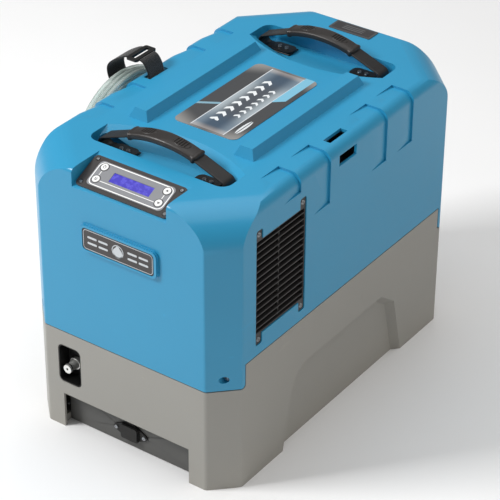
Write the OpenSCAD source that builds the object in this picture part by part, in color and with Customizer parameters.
// Portable refrigerant dehumidifier with a moulded two-part case.
// +Z is up, the control panel looks towards -Y and the outlet grille towards +X.
// The origin lies on the floor under the middle of the case.

/* [Case] */
// Length of the case, front to rear
body_len = 590; // [580:2:610]
// Width of the case
body_w = 356; // [352:2:366]
// Height of the flat top
body_h = 446; // [444:1:450]
// How far each upright corner is cut back
corner_cut = 36; // [32:1:40]
// Wall thickness of the moulded shells
wall = 4; // [3:0.5:4.5]
// Rounding of the long top edges
side_edge_r = 16; // [12:1:20]
// Rounding of the front and rear top edges
end_edge_r = 8; // [6:1:10]
// Radius of the sweep from a cut corner into the top
corner_sweep_r = 57; // [50:1:62]
// Rounding of the upright edges
upright_r = 9; // [6:1:10]

/* [Seam and base] */
// Height of the seam between base and shroud at the ends
seam_z = 169; // [164:1:172]
// Height of the seam along the sides
side_seam_z = 206; // [200:1:208]
// Half length of the raised part of the seam
side_seam_half = 250; // [240:1:252]
// Shadow gap left open at the seam
seam_gap = 1.5; // [1:0.25:2]
// Depth of the recess in each side of the base
recess_depth = 10.5; // [6:0.5:12]
// Height of the opening at the front of the base
front_gap_h = 59.5; // [55:0.5:62]
// Half width of the opening at the front of the base
front_gap_half = 112.5; // [105:0.5:115]

/* [Top] */
// Height of the two long ridges
ridge_h = 14.5; // [8:0.5:16]
// Depth of the ramps cut into the long edges
ramp_depth = 3.2; // [2:0.2:3.6]
// Length of each ramp
ramp_len = 40; // [34:1:42]
// Length and width of the top label
label_size = [208, 108];

/* [Handles] */
// Distance of each handle from the middle of the case
handle_y = 191; // [189:0.5:193]
// Length of a grip
grip_len = 116; // [108:2:120]
// Width of a grip
grip_w = 30; // [29:0.5:32]
// Thickness of a grip
grip_t = 12; // [10:0.5:13]
// Height of the middle of a grip
grip_z = 471; // [468:0.5:474]
// Radius of the arch of a grip
grip_arc_r = 165; // [150:5:200]
// Width of the handle strap
strap_w = 25; // [22:0.5:25]
// Thickness of the handle strap
strap_t = 2.5; // [2:0.1:2.8]
// Height of the floor of the hand recess
scoop_floor = 425; // [424:0.5:427]

/* [Control panel] */
// Width and depth of the bezel
panel_size = [156, 54];
// Slope of the panel
panel_tilt = 24.2; // [22:0.1:26]
// Radius of a button
button_r = 5.5; // [4:0.25:6]

/* [Grilles] */
// Distance from one bar to the next
bar_pitch = 10.15; // [10:0.05:10.3]
// Thickness of a bar
bar_t = 1.8; // [1.2:0.1:2.4]
// Number of bars in the outlet grille
outlet_bars = 14; // [12:1:14]
// Number of bars in the intake grille
intake_bars = 17; // [13:1:17]

/* [Drain hose] */
// Outside diameter of the hose
hose_d = 8; // [7:0.5:8]
// Outside radius of the stored coil
coil_r = 120; // [116:1:121]
// Thickness of the stored coil, along and across
coil_t = 25; // [24:0.5:25]

/* [Fan] */
// Diameter of the blower wheel
wheel_d = 176; // [160:2:180]
// Width of the blower wheel
wheel_w = 70; // [60:1:72]
// Number of blades
blades = 30; // [20:1:36]

/* [Hidden] */
$fn = 48;

case_blue = [0.24, 0.62, 0.76];
base_grey = [0.61, 0.60, 0.57];
tray_grey = [0.33, 0.33, 0.32];
soft_black = [0.12, 0.12, 0.13];
grip_brown = [0.22, 0.20, 0.20];
steel = [0.75, 0.76, 0.78];
copper = [0.80, 0.47, 0.30];
board_green = [0.10, 0.38, 0.22];

hx = body_w / 2;
hy = body_len / 2;
fit = 0.3;
eps = 0.01;
big = 2000;

// The sloped floor under the control panel runs back from its front lip
panel_lip_z = 418.5;
panel_lip_half = 80;
bezel_t = 3;
panel_mid = [0, -266, panel_lip_z + (hy - 266) * tan(panel_tilt)];
button_spots = [[-53, 12], [-53, -9.5], [53, 12], [53, -9.5]];

ridge_in = 74;
ridge_out = 107;
ridge_front = -136;
ridge_back = 138;
ridge_slope = 6.5;

scoop_half = 118;
scoop_edge_y = 216;
scoop_bed = 40;
scoop_arc_r = 225;
scoop_arc_y = -361;
scoop_slope = 30 / 21;
ramp_in = 140;
// Rear end and lower edge of each ramp
ramps = [[-125, 418], [-53, 366], [91, 366], [160, 366]];
strap_mid_y = -10.5;
slot_len = 43;
slot_x = [150, 162];
slot_z = [414, 431];

badge_z = 346.5;
badge_proud = 5;
badge_size = [131, 41];
plate_size = [123, 35];

// Outlet grille: rear and front edge, lower and upper edge
outlet_y = [-228, -111];
outlet_z = [239, 391];
intake_x = [-116, 116];
intake_z = [214, 392];
tab_w = 15;
tab_h = 16;
grille_in = 1.5;

fan_x = -40;
fan_z = 305;
fan_back_y = -128;
fan_front_y = -216;
coupler_x = -103;
coupler_z = 106;
cup_x = -99;
cup_z = 113;
cup_size = [41, 65];
cup_back_y = -271;
tray_front_y = -276.5;
tray_z = 12;
gusset_x = 118;
inlet_x = -4;
inlet_z = 27;
box_at = [50, wall - hy, 204];
compressor_at = [70, -10];
tank_x = [-152, -68];
tank_y = [-250, -170];
tank_z = [tray_z + 2, 108];
float_at = [-90, -190];
port_z = 132;
pump_route = [[-120, -245.7, port_z], [-120, -250, port_z], [-117, -254, 127], [-111, -256, 119],
    [-105.5, -255.5, 110.5], [coupler_x, -257.5, coupler_z], [coupler_x, -262.4, coupler_z]];
coil_at = [-197, -30, 323];
tail_y = coil_at[1] + coil_r - hose_d / 2 - 1;

// Middle line of the webbing loop that holds the hose, seen from the front
strap_path = [[-192.9, 468.6], [-201, 466], [-216, 457], [-227, 448], [-231, 438], [-229, 426],
    [-222, 413], [-211, 406.5], [-199, 405], [-190, 405.5], [-184, 408], [-180.5, 412.5], [-177, 419],
    [-168, 422.5]];
tail_path = [[-156, 438], [-156, 446], [-157.5, 453], [-161, 460], [-166, 466], [-172.1, 468.6]];
web_t = 2;
web_w = 40;
// Free end of the hose below the coil, side on
tail_route = [[-197, tail_y, 284], [-197, tail_y, 270], [-197, 84.4, 256], [-197, 82, 245], [-197, 82, 238]];

// ---------- small tools ----------

function unit(v) = v / norm(v);
function left_of(v) = [-v[1], v[0]];
function arc(c, r, a, b, n) = [for (i = [0:n]) c + r * [cos(a + (b - a) * i / n), sin(a + (b - a) * i / n)]];

// An anticlockwise convex outline moved inward by d
function inset(p, d) = let (n = len(p)) [
    for (i = [0:n - 1])
        let (u = unit(p[i] - p[(i + n - 1) % n]), v = unit(p[(i + 1) % n] - p[i]),
             m = unit(left_of(u) + left_of(v)))
        p[i] + m * d / (m * left_of(u))];

// Points of a smooth curve through p, n to a stretch
function smooth(p, n) = let (last = len(p) - 1) concat([
    for (i = [0:last - 1], k = [0:n - 1])
        let (a = p[max(i - 1, 0)], b = p[i], c = p[i + 1], d = p[min(i + 2, last)], t = k / n)
        b + ((c - a) * t + (2 * a - 5 * b + 4 * c - d) * t * t + (3 * b - a - 3 * c + d) * t * t * t) / 2],
    [p[last]]);

// The line p moved sideways by d
function beside(p, d) = let (last = len(p) - 1) [
    for (i = [0:last]) p[i] + d * left_of(unit(p[min(i + 1, last)] - p[max(i - 1, 0)]))];

module rounded_outline(points, r) {
    mid = inset(points, r);
    n = len(points);
    polygon([for (i = [0:n - 1])
        let (out = left_of(unit(points[(i + 1) % n] - points[i])) * r)
        each [mid[i] - out, mid[(i + 1) % n] - out]]);
    for (c = mid) translate(c) circle(r);
}

module rounded_box(size, r) {
    half = [size[0], size[1]] / 2;
    linear_extrude(size[2]) rounded_outline([-half, [half[0], -half[1]], half, [-half[0], half[1]]], r);
}

// Everything beyond the plane through p, on the side that n points to
module half_space(p, n) {
    translate(p) rotate([0, acos(n[2] / norm(n)), atan2(n[1], n[0])])
        translate([-big / 2, -big / 2, 0]) cube(big);
}

module both_sides() {
    children();
    mirror([1, 0, 0]) children();
}

module both_ends() {
    children();
    mirror([0, 1, 0]) children();
}

// Pan-head screw with its head on z = 0, its shank down -Z and a cross slot
module pan_screw(head_r, head_h, shank_r, shank_len) {
    difference() {
        union() {
            cylinder(h = head_h, r1 = head_r, r2 = head_r * 0.8);
            translate([0, 0, -shank_len]) cylinder(h = shank_len + eps, r = shank_r);
        }
        for (a = [0, 90]) rotate([0, 0, a])
            translate([-head_r * 0.55, -head_r * 0.1, head_h * 0.45])
                cube([head_r * 1.1, head_r * 0.2, head_h]);
    }
}

// Round tube through the points, with slightly swollen bends
module pipe(points, r) {
    for (i = [0:len(points) - 2]) {
        step = points[i + 1] - points[i];
        translate(points[i]) rotate([0, acos(step[2] / norm(step)), atan2(step[1], step[0])])
            cylinder(h = norm(step), r = r);
        if (i > 0) translate(points[i]) sphere(r * 1.04);
    }
}

// Band of thickness t and width w that follows a path in the XZ plane, about y = 0
module band(path, t, w) {
    rotate([90, 0, 0]) linear_extrude(w, center = true)
        polygon(concat(beside(path, t / 2), [for (i = [len(path) - 1:-1:0]) beside(path, -t / 2)[i]]));
}

// Closed tube of n sides swept along a route
module swept_tube(route, r, n) {
    last = len(route) - 1;
    rings = [for (i = [0:last])
        let (t = unit(route[min(i + 1, last)] - route[max(i - 1, 0)]), a = [1, 0, 0], b = cross(t, a))
        for (k = [0:n - 1]) route[i] + r * (cos(360 * k / n) * a + sin(360 * k / n) * unit(b))];
    sides = [for (i = [0:last - 1], k = [0:n - 1])
        [i * n + k, i * n + (k + 1) % n, (i + 1) * n + (k + 1) % n, (i + 1) * n + k]];
    polyhedron(rings, concat([[for (k = [n - 1:-1:0]) k]], sides, [[for (k = [0:n - 1]) last * n + k]]));
}

// ---------- shape of the case ----------

function footprint() = [
    [corner_cut - hx, -hy], [hx - corner_cut, -hy], [hx, corner_cut - hy], [hx, hy - corner_cut],
    [hx - corner_cut, hy], [corner_cut - hx, hy], [-hx, hy - corner_cut], [-hx, corner_cut - hy]];

module plan(d) {
    rounded_outline(inset(footprint(), d), upright_r - d);
}

module arched(half, h, r) {
    translate([-half, 0]) square([2 * half, h - r]);
    translate([r - half, 0]) square([2 * (half - r), h]);
    for (s = [-1, 1]) translate([s * (half - r), h - r]) circle(r);
}

module through(half, h, r) {
    rotate([90, 0, 0]) linear_extrude(big, center = true) arched(half, h, r);
}

// Outer form of the closed case, moved inward by d
module case_form(d) {
    // The sweep stands a hair inside the corner planes, so that the two never coincide
    corner_half = (hx + hy - corner_cut) / sqrt(2) - (d > 0 ? 0 : fit);
    intersection() {
        linear_extrude(body_h - d) plan(d);
        through(hx - d, body_h - d, side_edge_r - d);
        rotate([0, 0, 90]) through(hy - d, body_h - d, end_edge_r - d);
        intersection_for (a = [45, -45]) rotate([0, 0, a])
            through(corner_half - d, body_h - d, corner_sweep_r - d, $fn = d > 0 ? 12 : 48);
    }
}

// Everything under the seam, raised by g
module under_seam(g) {
    r = 5;
    y = side_seam_half + g;
    rotate([90, 0, 90]) linear_extrude(big, center = true) {
        translate([-big / 2, -1]) square([big, seam_z + g + 1]);
        translate([-y, 0]) square([2 * y, side_seam_z + g]);
        for (s = [-1, 1]) difference() {
            translate([s * (y + r / 2), seam_z + g + r / 2]) square(r, center = true);
            translate([s * (y + r), seam_z + g + r]) circle(r);
        }
    }
}

// Recess in the right side of the base, grown by g
module side_recess(g) {
    edge = [[158, 0], [133, 102], [96, 129], [-108, 129], [-131, 112], [-139, 88], [-158, 0]];
    intersection() {
        translate([hx - recess_depth - g, -hy, -seam_z]) cube([recess_depth + g + 1, body_len, 2 * seam_z]);
        intersection_for (i = [0:len(edge) - 2]) {
            u = unit(edge[i + 1] - edge[i]);
            inward = left_of(u);
            n = cross([0, u[0], u[1]], [-recess_depth, inward[0] * recess_depth, inward[1] * recess_depth]);
            half_space([hx, edge[i][0], edge[i][1]] - unit(n) * g, n);
        }
    }
}

module front_scoop(g) {
    intersection() {
        translate([0, scoop_arc_y, scoop_floor - g])
            cylinder(h = body_h - scoop_floor + 2 * g + 1,
                r1 = scoop_arc_r - scoop_slope * (body_h - scoop_floor) + g,
                r2 = scoop_arc_r + scoop_slope * (g + 1) + g, $fn = 96);
        translate([0, 60 - scoop_edge_y, scoop_floor - g])
            rounded_box([2 * (scoop_half + g), 120 + 2 * g, 60], 16 + g);
    }
    // Level bed for the feet of the strap
    translate([0, scoop_bed / 2 - scoop_edge_y, scoop_floor - g])
        rounded_box([2 * (scoop_half + g), scoop_bed + 2 * g, 60], 16 + g);
}

module panel_notch(g) {
    intersection() {
        translate([-panel_lip_half - g, -hy - 10, 300]) cube([2 * (panel_lip_half + g), 110, 200]);
        half_space([0, -hy, panel_lip_z - g], [0, -sin(panel_tilt), cos(panel_tilt)]);
    }
}

module ramp_cut(back_y, low_z) {
    a = atan(ramp_depth / ramp_len);
    difference() {
        translate([ramp_in, back_y - ramp_len - 2, low_z])
            cube([hx - ramp_in + 1, ramp_len + 2, body_h - low_z + 1]);
        translate([hx, back_y - ramp_len, body_h]) rotate([-a, 0, a]) translate([-hx, 0, -body_h])
            rotate([90, 0, 0]) linear_extrude(4 * ramp_len, center = true)
                arched(hx, body_h, side_edge_r);
    }
}

// Outline of a grille opening with a screw tab at each corner, grown by g
module tabbed(w, h, g) {
    square([w + 2 * g, h + 2 * g], center = true);
    for (sx = [-1, 1], sy = [-1, 1])
        translate([sx * (w - tab_w) / 2, sy * (h / 2 + tab_h / 4)])
            rounded_outline([[-tab_w / 2 - g, -tab_h * 3 / 4 - g], [tab_w / 2 + g, -tab_h * 3 / 4 - g],
                [tab_w / 2 + g, tab_h * 3 / 4 + g], [-tab_w / 2 - g, tab_h * 3 / 4 + g]], 4 + g);
}

module at_outlet() {
    translate([0, (outlet_y[0] + outlet_y[1]) / 2, (outlet_z[0] + outlet_z[1]) / 2])
        rotate([90, 0, 90]) children();
}

module at_intake() {
    translate([(intake_x[0] + intake_x[1]) / 2, 0, (intake_z[0] + intake_z[1]) / 2])
        rotate([90, 0, 180]) children();
}

outlet_size = [outlet_y[1] - outlet_y[0], outlet_z[1] - outlet_z[0]];
intake_size = [intake_x[1] - intake_x[0], intake_z[1] - intake_z[0]];

// Opening for a grille, with a shallow seat for each screw tab
module grille_cut(size) {
    linear_extrude(2 * wall) tabbed(size[0], size[1], 0);
    translate([0, 0, -2 * wall]) linear_extrude(4 * wall) square(size, center = true);
    translate([0, 0, -2 * wall]) grille_screw_spots(size) cylinder(h = 4 * wall, r = 1.8);
}

module grille_bosses(size) {
    translate([0, 0, -boss_t]) grille_screw_spots(size)
        translate([-tab_w / 2 - boss_t, -tab_h / 2 - boss_t, 0])
            cube([tab_w + 2 * boss_t, tab_h + 2 * boss_t, 2 * boss_t]);
}

module outlet_bosses() {
    translate([hx - wall, 0, 0]) at_outlet() grille_bosses(outlet_size);
}

module intake_bosses() {
    translate([0, hy - wall, 0]) at_intake() grille_bosses(intake_size);
}

module on_panel() {
    translate(panel_mid) rotate([panel_tilt, 0, 0]) children();
}

// The four corner screws enter from the front and the rear
shell_screw_x = 160;
shell_screw_y = 268;
shell_screw_z = 188;
boss_r = 9;
boss_t = 4;

module at_shell_screws() {
    both_ends() both_sides() translate([shell_screw_x, -shell_screw_y, shell_screw_z]) rotate([90, 0, 0])
        children();
}

module at_handle_screws() {
    both_ends() both_sides() for (x = [65, 77])
        translate([x, -handle_y, scoop_floor + strap_t + 2.5]) children();
}

// ---------- case parts ----------

module base_shell() color(base_grey) {
    lip_t = 3;
    lip_below = 18;
    difference() {
        union() {
            intersection() {
                difference() {
                    linear_extrude(side_seam_z) plan(0);
                    translate([0, 0, -1]) linear_extrude(big / 4) plan(wall);
                }
                under_seam(0);
            }
            intersection() {
                linear_extrude(side_seam_z) plan(1);
                union() {
                    both_sides() side_recess(wall);
                    both_sides() both_ends() translate([gusset_x, -hy, 0]) cube([40, 44, tray_z]);
                }
            }
            // Lip that the shroud slides over, higher along the sides
            intersection() {
                translate([0, 0, seam_z - lip_below]) difference() {
                    linear_extrude(63) plan(wall + fit);
                    translate([0, 0, -1]) linear_extrude(65) plan(wall + fit + lip_t);
                }
                union() {
                    translate([-hx, -hy, 0]) cube([body_w, body_len, seam_z + 22]);
                    translate([-hx, 6 - side_seam_half, 0]) cube([body_w, 2 * side_seam_half - 12, big]);
                }
            }
            translate([0, 0, seam_z - lip_below]) difference() {
                linear_extrude(lip_below) plan(wall - 1);
                translate([0, 0, -1]) linear_extrude(lip_below + 2) plan(wall + fit + lip_t);
            }
            // Posts that the corner screws bite into
            intersection() {
                translate([0, 0, seam_z - 20]) linear_extrude(60) plan(wall + fit);
                at_shell_screws() translate([0, 0, -boss_t - 18]) cylinder(h = 18 - fit, r = boss_r);
            }
        }
        both_sides() side_recess(0);
        translate([-front_gap_half, -hy - 1, -1]) cube([2 * front_gap_half, 2 * wall, front_gap_h + 1]);
        translate([cup_x, -hy - 1, cup_z]) rotate([-90, 0, 0])
            rounded_box([cup_size[0], cup_size[1], 2 * wall], 9);
        at_shell_screws() {
            translate([0, 0, -boss_t - fit]) cylinder(h = 60, r = boss_r + fit);
            translate([0, 0, -40]) cylinder(h = 40, r = 2.1);
        }
        at_tray_screws() translate([0, 0, -tray_z]) cylinder(h = 2 * tray_z, r = 1.7);
    }
}

module at_tray_screws() {
    both_sides() both_ends() translate([gusset_x + 14, 32 - hy, tray_z + 2]) children();
}

module chassis_tray() color(tray_grey) {
    half = [152.5, -tray_front_y];
    difference() {
        union() {
            translate([-half[0], -half[1], tray_z]) cube([2 * half[0], 2 * half[1], 2]);
            both_ends() translate([1 - gusset_x, -half[1], 1]) cube([2 * gusset_x - 2, 2, 65]);
        }
        at_tray_screws() translate([0, 0, -5]) cylinder(h = 10, r = 1.8);
        translate([inlet_x, tray_front_y - 1, inlet_z]) rotate([-90, 0, 0]) {
            translate([-14, -12, 0]) cube([28, 24, 4]);
            for (s = [-1, 1]) translate([25 * s, 0, 0]) cylinder(h = 4, r = 1.8);
        }
        at_grommets() translate([0, 0, -tray_z]) cylinder(h = 2 * tray_z, r = 5);
    }
}

module tray_screws() color(steel) at_tray_screws() pan_screw(4, 2.4, 1.6, 11);

module top_shroud() color(case_blue) {
    difference() {
        union() {
            case_form(0);
            both_sides() hull() {
                translate([ridge_in, ridge_front, body_h - 1])
                    cube([ridge_out - ridge_in, ridge_back - ridge_front, 1]);
                translate([ridge_in + ridge_slope, ridge_front + ridge_slope, body_h])
                    cube([ridge_out - ridge_in - 2 * ridge_slope,
                        ridge_back - ridge_front - 2 * ridge_slope, ridge_h]);
            }
            translate([0, 1 - hy, badge_z]) rotate([90, 0, 0]) {
                rounded_box([badge_size[0] + 3, badge_size[1] + 3, badge_proud / 2 + 1], 9.5);
                rounded_box([badge_size[0], badge_size[1], badge_proud + 1], 8);
            }
        }
        difference() {
            translate([0, 0, -1]) case_form(wall);
            both_ends() front_scoop(wall);
            panel_notch(wall);
            at_shell_screws() translate([0, 0, -boss_t]) cylinder(h = 30, r = boss_r);
            outlet_bosses();
            intake_bosses();
        }
        both_ends() front_scoop(0);
        panel_notch(0);
        under_seam(seam_gap);
        for (r = ramps) both_sides() ramp_cut(r[0], r[1]);
        both_sides() {
            translate([slot_x[0], strap_mid_y - slot_len / 2, body_h - 3 * wall])
                cube([slot_x[1] - slot_x[0], slot_len, 4 * wall]);
            translate([hx - 2 * wall, strap_mid_y - slot_len / 2, slot_z[0]])
                cube([3 * wall, slot_len, slot_z[1] - slot_z[0]]);
        }
        // Pocket for the badge plate
        translate([0, 1.8 - hy - badge_proud, badge_z]) rotate([90, 0, 0])
            rounded_box([plate_size[0], plate_size[1], 2], 6);
        translate([hx - wall, 0, 0]) at_outlet() grille_cut(outlet_size);
        translate([0, hy - wall, 0]) at_intake() grille_cut(intake_size);
        // Counterbores and clearance holes for the corner screws
        at_shell_screws() {
            cylinder(h = 60, r = 5.5);
            translate([0, 0, -30]) cylinder(h = 31, r = 2.1);
        }
        at_handle_screws() translate([0, 0, -12]) cylinder(h = 14, r = 1.9);
        on_panel() {
            translate([-62, -18, -12]) cube([124, 36, 14]);
            panel_screw_spots() translate([0, 0, -12]) cylinder(h = 14, r = 1.3);
        }
    }
}

module shroud_screws() color(steel) at_shell_screws() pan_screw(4.6, 3, 2, 24);

module front_badge() color(soft_black)
    translate([0, 1.8 - hy - badge_proud, badge_z]) rotate([90, 0, 0])
        rounded_box([plate_size[0] - 2 * fit, plate_size[1] - 2 * fit, 1.2], 5.7);

module top_label() color([0.35, 0.37, 0.39])
    translate([0, -2, body_h]) rounded_box([label_size[1], label_size[0], 0.8], 11);

module rear_plate() color(tray_grey)
    translate([0, 273, body_h]) rounded_box([73, 27, 1.2], 2);

// ---------- control panel ----------

module panel_screw_spots() {
    for (sx = [-1, 1], sy = [-1, 1])
        translate([sx * (panel_size[0] / 2 - 7), sy * (panel_size[1] / 2 - 6), 0]) children();
}

module control_bezel() color(soft_black) on_panel() difference() {
    translate([0, 0, 0]) rounded_box([panel_size[0], panel_size[1], bezel_t], 6);
    translate([0, 0, bezel_t - 1]) rounded_box([128 + 2 * fit, 42 + 2 * fit, 2], 7);
    translate([-36, -9, -1]) cube([72, 21, bezel_t]);
    for (p = button_spots) translate([p[0], p[1], -1]) cylinder(h = 5, r = button_r + 1);
    panel_screw_spots() {
        translate([0, 0, -1]) cylinder(h = 5, r = 1.6);
        translate([0, 0, bezel_t - 0.8]) cylinder(h = 2, r = 3.6);
    }
}

module control_overlay() color([0.52, 0.53, 0.55]) on_panel() difference() {
    translate([0, 0, bezel_t - 1]) rounded_box([128, 42, 1.4], 6.7);
    translate([-34, -6.5, 0]) cube([68, 16, 6]);
    for (p = button_spots) translate([p[0], p[1], 0]) cylinder(h = 6, r = button_r + fit);
}

module lcd_window() color([0.29, 0.27, 0.72]) on_panel() {
    translate([-34 + fit, -6.5 + fit, bezel_t - 1]) cube([68 - 2 * fit, 16 - 2 * fit, 1]);
    translate([-35.5, -8.5, -1.2]) cube([71, 20, 3.2]);
}

module button(i) color("white") on_panel() translate([button_spots[i][0], button_spots[i][1], 0]) {
    translate([0, 0, 0.2]) cylinder(h = bezel_t + 0.8, r = button_r);
    translate([0, 0, -0.8]) cylinder(h = 1 + eps, r = button_r - 1.5);
}

module button_power() button(0);
module button_mode() button(1);
module button_up() button(2);
module button_down() button(3);

module panel_screws() color(steel) on_panel() panel_screw_spots()
    translate([0, 0, bezel_t - 0.8]) pan_screw(3, 1.4, 1.2, 9);

module panel_board() color(board_green) on_panel() {
    translate([-60, -16, -5]) cube([120, 32, 1.6]);
    for (p = button_spots) translate([p[0], p[1], -3.4 - eps]) cylinder(h = 1.4, r = 3);
    for (sx = [-42, 42], sy = [-15, 15]) translate([sx, sy, -3.4 - eps]) cylinder(h = 3.4 + eps, r = 1.6);
    translate([-30, -6, -3.4 - eps]) cube([60, 14, 2.2]);
    translate([-50, 4, -9]) cube([30, 8, 4 + eps]);
}

// ---------- handles ----------

// Middle line of one half of a strap: over the grip, down, round the curl and in along the foot
function half_strap() = let (
    slope = asin(grip_len / 2 / grip_arc_r),
    start = [grip_len / 2, grip_z - grip_arc_r * (1 - cos(slope))],
    foot_z = scoop_floor + strap_t / 2,
    outer = 107.5,
    n = [-sin(slope), -cos(slope)],
    q = [outer, foot_z] - start,
    r = (q * n) / (1 - n * [-1, 1]),
    c = [outer - r, foot_z + r])
    concat(arc([0, grip_z - grip_arc_r], grip_arc_r, 90, 90 - slope, 8),
        arc(c, r, 90 - slope, -90, 14), [[52, foot_z]]);

function strap_line() = let (h = half_strap(), m = len(h) - 1)
    concat([for (i = [m:-1:1]) [-h[i][0], h[i][1]]], h);

module handle_strap() color(soft_black) translate([0, -handle_y, 0])
    difference() {
        band(strap_line(), strap_t, strap_w);
        both_sides() for (x = [65, 77]) translate([x, 0, scoop_floor - 1]) cylinder(h = 5, r = 2);
    }

module front_strap() handle_strap();
module rear_strap() mirror([0, 1, 0]) handle_strap();

module grip() color(grip_brown) translate([0, -handle_y, grip_z - grip_arc_r]) {
    half = asin(grip_len / 2 / grip_arc_r);
    slot = [strap_t + 2 * fit, strap_w + 2 * fit];
    difference() {
        rotate([90, 0, 0]) rotate([0, 0, 90 - half]) rotate_extrude(angle = 2 * half)
            translate([grip_arc_r, 0]) difference() {
                rounded_outline([[-grip_t, -grip_w] / 2, [grip_t, -grip_w] / 2,
                    [grip_t, grip_w] / 2, [-grip_t, grip_w] / 2], 4.5);
                square(slot, center = true);
            }
        for (s = [-1, 1], k = [-2:2]) rotate([0, s * 9.5 + k * 1.3, 0])
            translate([-0.9, -6, grip_arc_r + grip_t / 2 - 1.2]) cube([1.8, 12, 3]);
    }
}

module front_grip() grip();
module rear_grip() mirror([0, 1, 0]) grip();

module handle_plates() color(soft_black) both_ends() both_sides() difference() {
    translate([71, -handle_y, scoop_floor + strap_t]) rounded_box([40, 24, 2.5], 9);
    for (x = [65, 77]) translate([x, -handle_y, scoop_floor]) cylinder(h = 10, r = 2.1);
}

module handle_screws() color(steel) at_handle_screws() pan_screw(3.6, 2, 1.7, 12);

// ---------- hose strap and stored drain hose ----------

module hose_strap() color(soft_black) translate([0, strap_mid_y, 0])
    band(smooth(strap_path, 4), web_t, web_w);

module strap_tail() color(soft_black) translate([0, strap_mid_y, 0])
    band(smooth(tail_path, 4), web_t, web_w);

// Slot buckle with an open window
module strap_buckle() color(soft_black) translate([-182.5, strap_mid_y, 468.6]) difference() {
    rotate([0, 0, 90]) translate([0, 0, -2]) rounded_box([48, 20, 4], 4);
    translate([-3.5, -18, -3]) cube([7, 36, 6]);
}

module hose_coil() color([0.80, 0.87, 0.85]) translate(coil_at) rotate([0, 90, 0])
    rotate_extrude($fn = 96) translate([coil_r - coil_t, -coil_t / 2]) square(coil_t);

module hose_tail() color([0.80, 0.87, 0.85]) swept_tube(smooth(tail_route, 2), hose_d / 2, 10);

module hose_connector() color(steel) translate(tail_route[4] - [0, 0, fit]) rotate([180, 0, 0]) {
    difference() {
        union() {
            cylinder(h = 12, r = 6);
            translate([0, 0, 12 - eps]) cylinder(h = 22, r = 9);
            translate([0, 0, 34 - 2 * eps]) cylinder(h = 6, r = 7);
        }
        translate([0, 0, 26]) cylinder(h = 20, r = 5);
    }
}

// ---------- grilles and filter ----------

module grille(size, count, low) {
    frame = 3;
    difference() {
        union() {
            linear_extrude(wall - grille_in) tabbed(size[0], size[1], -fit);
            translate([0, 0, -5.5]) linear_extrude(6)
                square([size[0] - 2 * fit, size[1] - 2 * fit], center = true);
        }
        translate([0, 0, -6]) linear_extrude(12)
            square([size[0] - 2 * frame, size[1] - 2 * frame], center = true);
        grille_screw_spots(size) translate([0, 0, -1]) cylinder(h = 6, r = 1.8);
    }
    for (i = [0:count - 1])
        translate([-size[0] / 2 + 1, low + i * bar_pitch - bar_t / 2, -5.5])
            cube([size[0] - 2, bar_t, 5.5 + wall - grille_in - 0.4]);
    translate([-1.2, -size[1] / 2 + 1, -5.5]) cube([2.4, size[1] - 2, 5]);
}

module grille_screw_spots(size) {
    for (sx = [-1, 1], sy = [-1, 1])
        translate([sx * (size[0] - tab_w) / 2, sy * (size[1] / 2 + tab_h / 2), 0]) children();
}

module outlet_grille() color(soft_black) translate([hx - wall, 0, 0]) at_outlet()
    grille(outlet_size, outlet_bars, 380.5 - (outlet_z[0] + outlet_z[1]) / 2 - (outlet_bars - 1) * bar_pitch);

module intake_grille() color(soft_black) translate([0, hy - wall, 0]) at_intake()
    grille(intake_size, intake_bars, -(intake_bars - 1) * bar_pitch / 2);

module grille_screws() color(steel) {
    translate([hx - grille_in, 0, 0]) at_outlet() grille_screw_spots(outlet_size)
        pan_screw(3.8, 1.2, 1.7, 6);
    translate([0, hy - grille_in, 0]) at_intake() grille_screw_spots(intake_size)
        pan_screw(3.8, 1.2, 1.7, 6);
}

filter_y = 262;
filter_t = 18;

module filter_frame() color(soft_black) translate([0, filter_y + filter_t / 2, 303]) rotate([90, 0, 0])
    difference() {
        rounded_box([250, 196, filter_t], 3);
        translate([-119, -92, -1]) cube([238, 184, filter_t + 2]);
    }

module filter_media() color([0.72, 0.74, 0.70]) translate([-118.5, filter_y - filter_t / 2 + 2, 211.5]) {
    pleats = 20;
    pitch = 237 / pleats;
    linear_extrude(183) polygon(concat(
        [for (i = [0:pleats - 1]) each [[i * pitch, 0], [(i + 0.5) * pitch, 11]]], [[237, 0]],
        [for (i = [pleats - 1:-1:0]) each [[(i + 0.5) * pitch, 13], [i * pitch, 2]]]));
}

// ---------- coils and refrigerant circuit ----------

coil_w = 270;
coil_bottom = 196;
coil_rows = 8;
row_pitch = 210 / coil_rows;
evaporator_y = [196, 50];
condenser_y = [112, 44];
tube_end = coil_w / 2 + 6;
low_row = coil_bottom + row_pitch / 2;
top_row = coil_bottom + (coil_rows - 0.5) * row_pitch;

// Fin block with one serpentine tube, its free ends on the left
module finned_coil(depth) {
    fins = 30;
    tube_r = 4.5;
    for (i = [0:fins]) translate([-coil_w / 2 + i * (coil_w - 1) / fins, depth[0], coil_bottom])
        cube([1, depth[1], coil_rows * row_pitch]);
    for (k = [0:coil_rows - 1]) translate([0, depth[0] + depth[1] / 2, low_row + k * row_pitch]) {
        rotate([0, 90, 0]) cylinder(h = 2 * tube_end, r = tube_r, center = true);
        if (k < coil_rows - 1) translate([(k % 2 == 0 ? 1 : -1) * (tube_end - tube_r), 0, 0])
            cylinder(h = row_pitch, r = tube_r);
    }
}

module evaporator() color([0.72, 0.75, 0.78]) finned_coil(evaporator_y);

module condenser() color([0.66, 0.68, 0.70]) finned_coil(condenser_y);

tube_y = [evaporator_y[0] + evaporator_y[1] / 2, condenser_y[0] + condenser_y[1] / 2];

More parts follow.
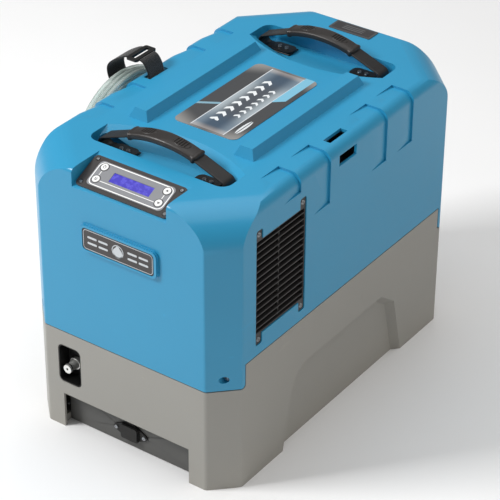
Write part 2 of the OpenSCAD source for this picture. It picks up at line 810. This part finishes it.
module coil_frame() color(steel) difference() {
    translate([-150.5, 92, tray_z + 2]) cube([301, 168, 400]);
    translate([-148.5, 96, tray_z + 1]) cube([297, 166, 399]);
    translate([fan_x, 90, fan_z]) rotate([-90, 0, 0]) cylinder(h = 10, r = 70);
    translate([-145, 90, 0]) cube([290, 10, 160]);
    for (y = tube_y, z = [low_row, top_row])
        translate([-160, y, z]) rotate([0, 90, 0]) cylinder(h = 14, r = 8);
}

module drip_pan() color(soft_black) difference() {
    translate([-148.5, 100, 172]) cube([297, 158, 12]);
    translate([-146, 103, 174]) cube([292, 152, 12]);
    translate([-120, 120, 170]) cylinder(h = 6, r = 6);
}

module at_grommets() {
    for (a = [0, 120, 240]) translate([compressor_at[0], compressor_at[1], tray_z])
        rotate([0, 0, a]) translate([70, 0, 0]) children();
}

compressor_r = 56;
compressor_top = 238;

module compressor() color([0.14, 0.14, 0.15]) translate([compressor_at[0], compressor_at[1], 0]) {
    translate([0, 0, 40]) cylinder(h = 170, r = compressor_r);
    translate([0, 0, 210 - eps]) cylinder(h = 14, r1 = compressor_r, r2 = 34);
    translate([0, 0, 30]) cylinder(h = 10 + eps, r1 = 40, r2 = compressor_r);
    translate([0, 0, 224 - 2 * eps]) cylinder(h = compressor_top - 224, r = 12);
    difference() {
        for (a = [0, 120, 240]) rotate([0, 0, a]) translate([30, -14, 26]) cube([52, 28, 4]);
        for (a = [0, 120, 240]) rotate([0, 0, a]) translate([70, 0, 20]) cylinder(h = 20, r = 6.1);
    }
    translate([0, 0, 26]) cylinder(h = 5, r = 42);
}

module compressor_grommets() color([0.2, 0.2, 0.2]) at_grommets() difference() {
    union() {
        translate([0, 0, 2]) cylinder(h = 12, r = 10);
        translate([0, 0, 14 - eps]) cylinder(h = 4 + 2 * eps, r = 6);
        translate([0, 0, 18]) cylinder(h = 3, r = 9);
    }
    translate([0, 0, 1]) cylinder(h = 24, r = 3);
}

accumulator_at = [compressor_at[0] - 88, compressor_at[1] + 20, 0];

// Upright vessel whose outlet tube curls back into the side of the compressor
module accumulator() color([0.18, 0.18, 0.2]) {
    translate(accumulator_at) {
        translate([0, 0, 70]) cylinder(h = 110, r = 24);
        translate([0, 0, 180 - eps]) cylinder(h = 12, r1 = 24, r2 = 8);
        translate([0, 0, 58]) cylinder(h = 12 + eps, r1 = 8, r2 = 24);
    }
    gap = [compressor_at[0], compressor_at[1], 0] - accumulator_at;
    pipe([accumulator_at + [0, 0, 60], accumulator_at + [0, 0, 48],
        accumulator_at + [0, 0, 48] + gap * (1 - compressor_r / norm(gap))], 5);
}

line_x = -162;

module suction_line() color(copper)
    pipe([[-tube_end, tube_y[0], top_row], [line_x, tube_y[0], top_row], [line_x, tube_y[0], 235],
        [line_x, 78, 235], [accumulator_at[0], 78, 235], accumulator_at + [0, 0, 235],
        accumulator_at + [0, 0, 192 - eps]], 5);

module discharge_line() color(copper)
    pipe([[compressor_at[0], compressor_at[1], compressor_top - 2 * eps],
        [compressor_at[0], compressor_at[1], 270], [compressor_at[0], 62, 270], [line_x, 62, 270],
        [line_x, 62, top_row], [line_x, tube_y[1], top_row], [-tube_end, tube_y[1], top_row]], 4.5);

// Condenser outlet, filter drier and the thin line on to the evaporator, brazed in one
module liquid_line() color(copper) {
    drier = [-120, 60, 0];
    pipe([[-tube_end, tube_y[1], low_row], [line_x, tube_y[1], low_row], [line_x, drier[1], low_row],
        drier + [0, 0, low_row], drier + [0, 0, 190]], 4);
    translate(drier) {
        translate([0, 0, 110]) cylinder(h = 72, r = 12);
        translate([0, 0, 182 - eps]) cylinder(h = 10, r1 = 12, r2 = 5);
        translate([0, 0, 100]) cylinder(h = 10 + eps, r1 = 5, r2 = 12);
    }
    pipe([drier + [0, 0, 101], drier + [0, 0, 78], [drier[0], 82, 78], [drier[0], 82, 150],
        [-158, 82, 150], [-158, tube_y[0], 150], [-158, tube_y[0], low_row],
        [-tube_end, tube_y[0], low_row]], 3);
}

// ---------- blower ----------

scroll_r = wheel_d / 2 + 13;
mouth_x = 140;
mouth_h = 58;
skin = 2.5;
blower_w = fan_back_y - fan_front_y;

// Round chamber set off from the wheel axis, with a straight mouth along its top
module scroll_2d(d) {
    translate([-4, 4]) circle(scroll_r + d);
    translate([-4, 4 + scroll_r - mouth_h - d]) square([mouth_x + 4, mouth_h + 2 * d]);
}

module blower_housing() color(soft_black) {
    translate([fan_x, fan_back_y, fan_z]) rotate([90, 0, 0]) difference() {
        linear_extrude(blower_w) scroll_2d(skin);
        translate([0, 0, skin]) linear_extrude(blower_w - 2 * skin) scroll_2d(0);
        translate([mouth_x - 1, 4 + scroll_r - mouth_h, skin]) cube([5, mouth_h, blower_w - 2 * skin]);
        translate([0, 0, -1]) cylinder(h = 2 * skin, r = wheel_d / 2 - 16);
        translate([0, 0, blower_w - skin - 1]) cylinder(h = 2 * skin, r = 20);
    }
    // Two posts that stand on the tray
    for (x = [fan_x - 26, fan_x + 18]) translate([x, fan_back_y - 52, tray_z + 2])
        cube([8, 24, fan_z + 4 - scroll_r - tray_z + 2]);
}

// Wheel and its shaft, which runs in the motor
module blower_wheel() color([0.3, 0.3, 0.32]) translate([fan_x, fan_front_y + 9, fan_z]) rotate([-90, 0, 0]) {
    rotate_extrude() polygon([[0, -45], [4, -45], [4, 0], [wheel_d / 2 - 1, 0], [wheel_d / 2 - 1, 3],
        [12, 3], [12, 26], [0, 26]]);
    rotate_extrude() translate([wheel_d / 2 - 14, wheel_w - 3]) square([14, 3]);
    for (i = [0:blades - 1]) rotate([0, 0, (i + 0.5) * 360 / blades])
        translate([wheel_d / 2 - 12, 0, 2]) rotate([0, 0, 35])
            cube([11, 1.2, wheel_w - 4]);
}

module fan_motor() color([0.55, 0.56, 0.58]) translate([fan_x, fan_front_y - 62, fan_z]) rotate([-90, 0, 0])
    difference() {
        union() {
            cylinder(h = 58, r = 42);
            translate([0, 0, 58 - eps]) cylinder(h = 4 + eps, r = 48);
        }
        translate([0, 0, 20]) cylinder(h = 50, r = 4.05);
    }

// Duct from the scroll mouth to the outlet grille
module outlet_duct() color(soft_black) {
    start = fan_x + mouth_x;
    mouth_z = fan_z + 4 + scroll_r - mouth_h;
    difference() {
        translate([start, fan_front_y, 240]) cube([166 - start, blower_w, 180]);
        translate([start + 2, fan_front_y + 2, 242]) cube([80, blower_w - 4, 168]);
        translate([start - 1, fan_front_y + skin, mouth_z]) cube([5, blower_w - 2 * skin, mouth_h]);
        translate([start + 40, fan_front_y - 1, 392]) cube([40, blower_w + 2, 40]);
    }
}

// ---------- condensate pump ----------

module pump_tank() color([0.80, 0.80, 0.76]) difference() {
    translate([tank_x[0], tank_y[0], tank_z[0]])
        cube([tank_x[1] - tank_x[0], tank_y[1] - tank_y[0], tank_z[1] - tank_z[0]]);
    translate([tank_x[0] + 2, tank_y[0] + 2, tank_z[0] + 2])
        cube([tank_x[1] - tank_x[0] - 4, tank_y[1] - tank_y[0] - 4, tank_z[1]]);
}

module water_pump() color(soft_black) {
    translate([tank_x[0], tank_y[0], tank_z[1]]) difference() {
        cube([tank_x[1] - tank_x[0], tank_y[1] - tank_y[0], 3]);
        translate([float_at[0] - tank_x[0], float_at[1] - tank_y[0], -1]) cylinder(h = 5, r = 4.08);
    }
    translate([-120, -215, tank_z[1] + 3 - eps]) cylinder(h = 40, r = 20);
    translate([-120, -215, tank_z[0] + 8]) cylinder(h = tank_z[1] - tank_z[0] - 8 + eps, r = 14);
    translate([-120, -225, port_z]) rotate([90, 0, 0]) cylinder(h = 20, r = 4);
}

module pump_float() color([0.9, 0.9, 0.85]) translate([float_at[0], float_at[1], 0]) {
    translate([0, 0, 40]) cylinder(h = 24, r = 16);
    translate([0, 0, 64 - eps]) cylinder(h = 60, r = 4);
    // Collar that hangs on the lid when the tank is empty
    translate([0, 0, tank_z[1] + 3]) cylinder(h = 3, r = 7);
}

module pump_tube() color([0.80, 0.87, 0.85])
    swept_tube(smooth(pump_route, 3), 3.6, 12);

// ---------- electrical parts ----------

module electrical_box() color(tray_grey) difference() {
    translate([box_at[0], box_at[1], box_at[2]]) cube([84, 60, 50]);
    translate([box_at[0] + 2, box_at[1] + 2, box_at[2] + 2]) cube([80, 56, 50]);
}

module power_board() color(board_green) translate(box_at) {
    for (x = [6, 74], y = [6, 50]) translate([x, y, 2]) cylinder(h = 6 + eps, r = 2);
    translate([3, 3, 8]) cube([76, 52, 1.6]);
    translate([8, 20, 9.6 - eps]) cube([22, 24, 14]);
    for (x = [42, 62]) translate([x, 30, 9.6 - eps]) cylinder(h = 26, r = 8);
    for (y = [6, 12]) translate([6, y, 9.6 - eps]) cube([60, 3, 8]);
}

// ---------- drain outlet and power inlet ----------

module drain_cup() color([0.16, 0.15, 0.15]) difference() {
    union() {
        translate([cup_x, 0.5 - hy, cup_z]) rotate([-90, 0, 0])
            rounded_box([cup_size[0] - 2 * fit, cup_size[1] - 2 * fit, hy - 0.5 + cup_back_y], 8.7);
        translate([cup_x, wall - hy, cup_z]) rotate([-90, 0, 0])
            rounded_box([cup_size[0] + 8, cup_size[1] + 8, 2], 12);
    }
    translate([cup_x, -hy - 1, cup_z]) rotate([-90, 0, 0])
        rounded_box([cup_size[0] - 4, cup_size[1] - 4, hy - 1 + cup_back_y], 7);
    translate([coupler_x, cup_back_y - 5, coupler_z]) rotate([-90, 0, 0]) cylinder(h = 10, r = 6.05);
}

module drain_coupler() color(steel) translate([coupler_x, cup_back_y - 2, coupler_z]) rotate([90, 0, 0])
    difference() {
        union() {
            translate([0, 0, -10]) cylinder(h = 10 + eps, r = 6);
            cylinder(h = 6, r = 9.2);
            translate([0, 0, 6 - eps]) cylinder(h = 8, r1 = 8, r2 = 6);
            translate([0, 0, 14 - 2 * eps]) cylinder(h = 7, r = 6);
            translate([0, 0, 16.5]) cylinder(h = 1, r = 6.6);
            translate([0, 0, 20]) cylinder(h = 3, r = 6.8);
        }
        translate([0, 0, -16]) cylinder(h = 60, r = 2);
    }

module drain_oring() color("black")
    translate([coupler_x, cup_back_y - 2 - 18.8, coupler_z]) rotate([90, 0, 0])
    rotate_extrude() translate([6.9, 0]) circle(0.9, $fn = 20);

// Oval flange of the inlet
module inlet_flange_2d() {
    circle(16.5);
    polygon([[-9, 13.8], [-27, 4.5], [-27, -4.5], [-9, -13.8], [9, -13.8], [27, -4.5], [27, 4.5], [9, 13.8]]);
    for (s = [-1, 1]) translate([25 * s, 0]) circle(5);
}

module power_inlet() color(soft_black) translate([inlet_x, tray_front_y, inlet_z]) rotate([90, 0, 0]) {
    difference() {
        union() {
            linear_extrude(2.5) inlet_flange_2d();
            translate([0, 0, 2]) rounded_box([31, 25, 3.5], 3);
            translate([-13.5, -11.5, -24]) cube([27, 23, 26.5]);
        }
        translate([0, 0, -16]) rounded_box([24, 18, 30], 3);
        for (s = [-1, 1]) translate([25 * s, 0, -1]) cylinder(h = 6, r = 1.8);
    }
    for (p = [[-7, -3], [7, -3], [0, 4]]) translate([p[0] - 1, p[1] - 2.5, -17]) cube([2, 5, 10]);
}

module inlet_cap() color([0.22, 0.22, 0.22]) translate([inlet_x, tray_front_y, inlet_z]) rotate([90, 0, 0]) {
    translate([0, 0, 5.5]) rounded_box([29, 23, 1.5], 3);
    translate([0, 0, -4]) rounded_box([24 - 2 * fit, 18 - 2 * fit, 9.5 + eps], 2.7);
}

module inlet_screws() color(steel) translate([inlet_x, tray_front_y - 2.5, inlet_z]) rotate([90, 0, 0])
    for (s = [-1, 1]) translate([25 * s, 0, 0]) pan_screw(3.4, 1.8, 1.6, 8);

base_shell();
chassis_tray();
tray_screws();
top_shroud();
shroud_screws();
control_bezel();
control_overlay();
lcd_window();
button_power();
button_mode();
button_up();
button_down();
panel_screws();
panel_board();
front_badge();
top_label();
rear_plate();
front_strap();
rear_strap();
front_grip();
rear_grip();
handle_plates();
handle_screws();
hose_strap();
strap_tail();
strap_buckle();
hose_coil();
hose_tail();
hose_connector();
outlet_grille();
intake_grille();
grille_screws();
filter_frame();
filter_media();
evaporator();
condenser();
coil_frame();
drip_pan();
compressor();
compressor_grommets();
accumulator();
suction_line();
discharge_line();
liquid_line();
blower_housing();
blower_wheel();
fan_motor();
outlet_duct();
pump_tank();
water_pump();
pump_float();
pump_tube();
electrical_box();
power_board();
drain_cup();
drain_coupler();
drain_oring();
power_inlet();
inlet_cap();
inlet_screws();
